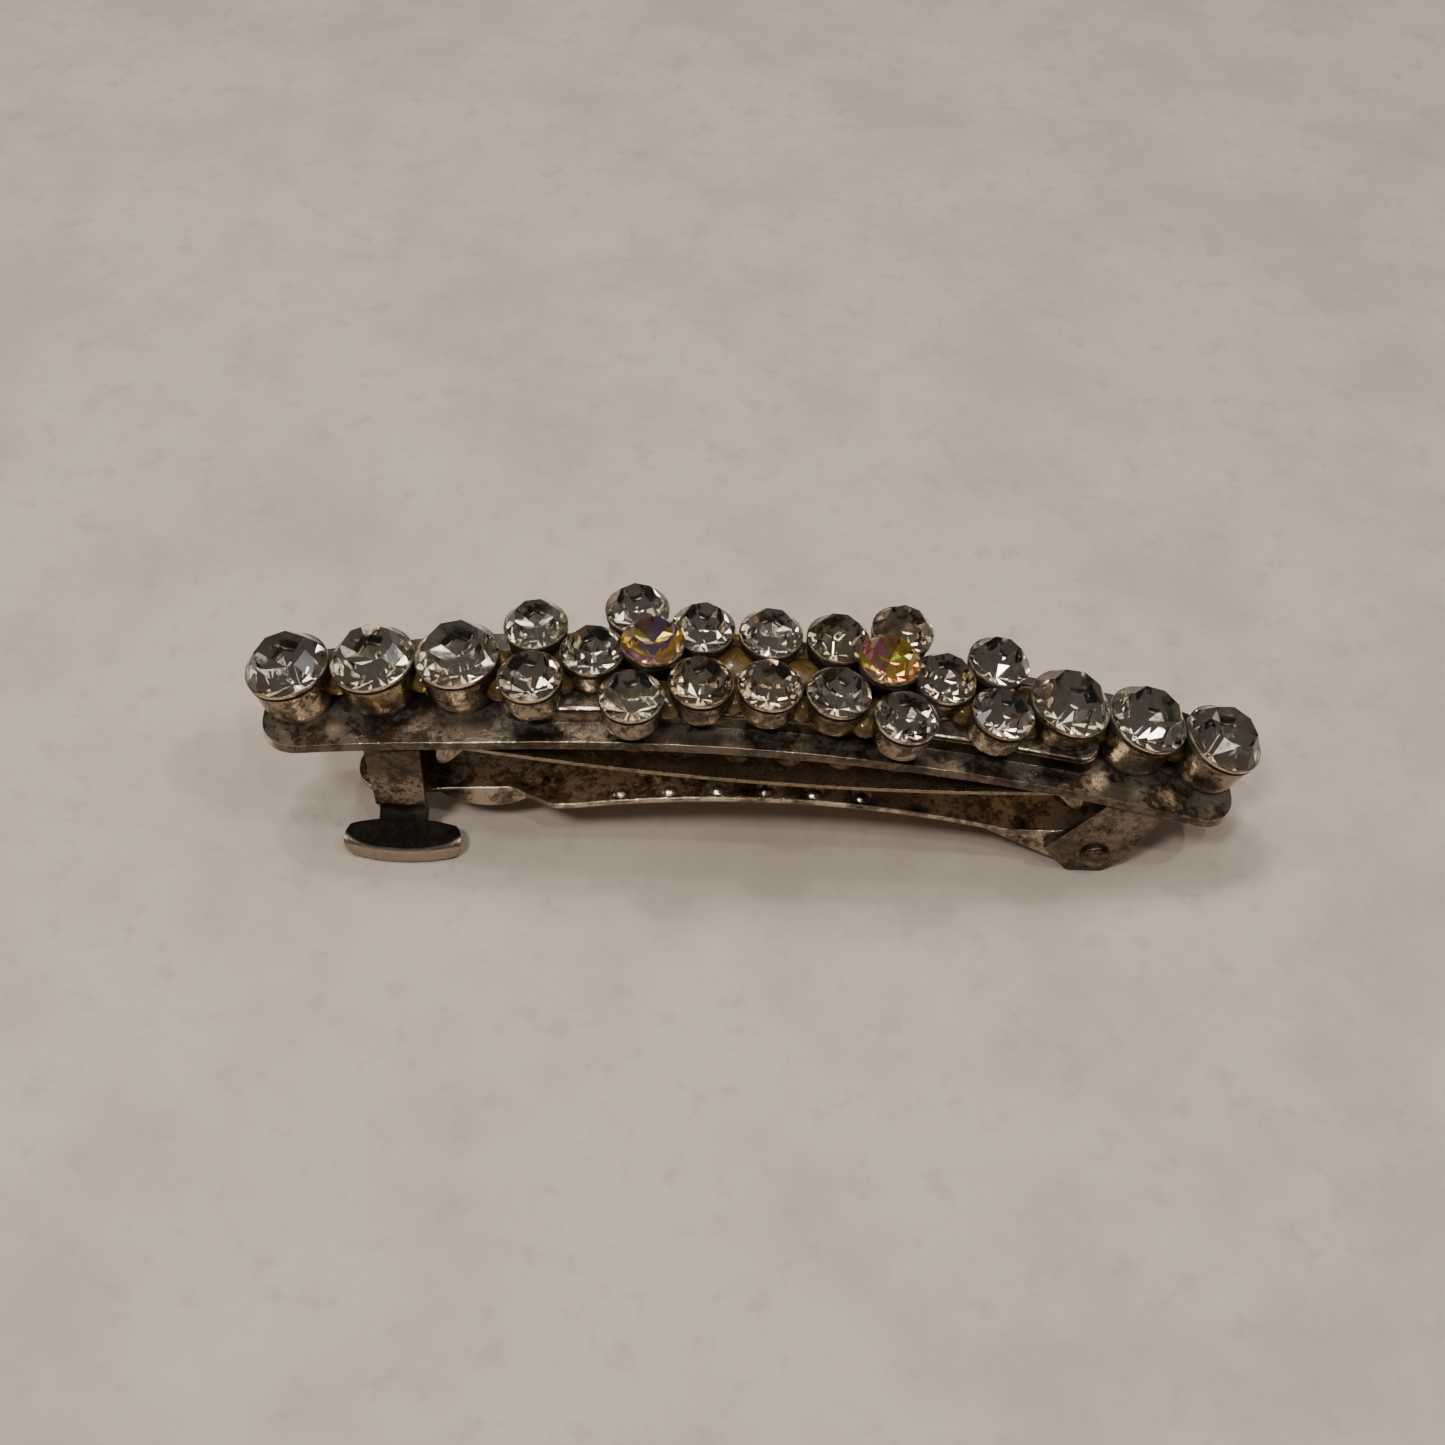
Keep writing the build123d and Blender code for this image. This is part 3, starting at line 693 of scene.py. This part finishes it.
def glue_bead(name, spots):
    """One soft mass from overlapping beads, each a matrix and its radii in millimetres."""
    points, faces = [], []
    ball = unit_ball()
    for place, radii in spots:
        start = len(points)
        for vertex in ball.vertices:
            local = Vector([vertex.co[k] * radii[k] for k in range(3)]) * MM
            points.append((place @ local) / MM)
        faces += [tuple(start + v for v in face.vertices) for face in ball.polygons]
    bpy.data.meshes.remove(ball)
    bead = mesh_object(name, points, faces, Matrix.Identity(4), [glue_look], smooth=True)
    fuse = bead.modifiers.new("fuse", "REMESH")
    fuse.mode = "VOXEL"
    fuse.voxel_size = GLUE_VOXEL * MM
    fuse.use_smooth_shade = True
    relax = bead.modifiers.new("relax", "SMOOTH")
    relax.iterations = GLUE_SMOOTHING
    bpy.context.view_layer.update()
    final = bpy.data.meshes.new_from_object(bead.evaluated_get(bpy.context.evaluated_depsgraph_get()))
    bead.modifiers.clear()
    bead.data = final
    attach(bead, BODY)
    return bead


beads = beads_between_cups(Random(5)) + beads_in_flowers() + puddles()
glue_bead("old_glue", beads)

# ---------------------------------------------------------------- floor and light, in millimetres and watts
FLOOR_HALF = 600
floor = mesh_object("floor", [(-FLOOR_HALF, -FLOOR_HALF, 0), (FLOOR_HALF, -FLOOR_HALF, 0),
                              (FLOOR_HALF, FLOOR_HALF, 0), (-FLOOR_HALF, FLOOR_HALF, 0)],
                    [(0, 1, 2, 3)], Matrix.Identity(4), [floor_material()])

NEAR_WHITE = (1, 0.97, 0.93)
SPARKLES = ((60, -150, 400), (-60, 90, 420), (170, -60, 360), (-200, 30, 330))


def lamp(name, spot, aim_height, size, watts, colour=NEAR_WHITE, shape="RECTANGLE"):
    """Soft light of a width and depth, turned to a point above the origin."""
    data = bpy.data.lights.new(name, "AREA")
    data.shape = shape
    data.size = size[0] * MM
    data.size_y = size[1] * MM
    data.energy = watts
    data.color = colour
    light = bpy.data.objects.new(name, data)
    light.location = Vector(spot) * MM
    light.rotation_euler = (Vector((0, 0, aim_height)) - Vector(spot)).to_track_quat("-Z", "Y").to_euler()
    bpy.context.scene.collection.objects.link(light)


lamp("key_front_left", (-120, -200, 400), 5, (60, 60), 0.75)
lamp("ceiling", (30, 60, 480), 5, (420, 300), 0.50, (1, 0.93, 0.86))
lamp("window", (-90, 120, 430), 5, (130, 90), 0.40, (1, 0.96, 0.91))
lamp("right_side", (360, 60, 230), 5, (90, 120), 0.10)
lamp("left_low", (-340, -30, 170), 8, (70, 90), 0.10)
for number, spot in enumerate(SPARKLES):
    lamp(f"sparkle_{number + 1}", spot, 10, (20, 20), 0.18, shape="DISK")

world = bpy.data.worlds.new("dim_room")
world.use_nodes = True
backdrop = world.node_tree.nodes["Background"]
backdrop.inputs["Color"].default_value = (0.60, 0.55, 0.49, 1)
backdrop.inputs["Strength"].default_value = 0.11
bpy.context.scene.world = world

# ---------------------------------------------------------------- camera, fitted to the photograph's angle
ELEVATION = radians(49.53)
AZIMUTH = radians(1.99)
ROLL = radians(3.49)
DISTANCE = 144.72                # millimetres, from the target
TARGET = (0.28, 0, 16.47)


def camera_matrix():
    """Camera that looks at the target from its elevation and azimuth, rolled about its own view."""
    back = Vector((-cos(ELEVATION) * sin(AZIMUTH), -cos(ELEVATION) * cos(AZIMUTH), sin(ELEVATION)))
    level = Vector((cos(AZIMUTH), -sin(AZIMUTH), 0))
    right = level * cos(ROLL) + back.cross(level) * sin(ROLL)
    turn = Matrix((right, back.cross(right), back)).transposed().to_4x4()
    return Matrix.Translation((Vector(TARGET) + back * DISTANCE) * MM) @ turn


view = bpy.data.cameras.new("view")
view.lens = 49.83
view.sensor_width = 36
view.shift_x = -0.0318
view.shift_y = -0.0339
view.clip_start = 0.01
camera = bpy.data.objects.new("view", view)
camera.matrix_world = camera_matrix()
bpy.context.scene.collection.objects.link(camera)
bpy.context.scene.camera = camera
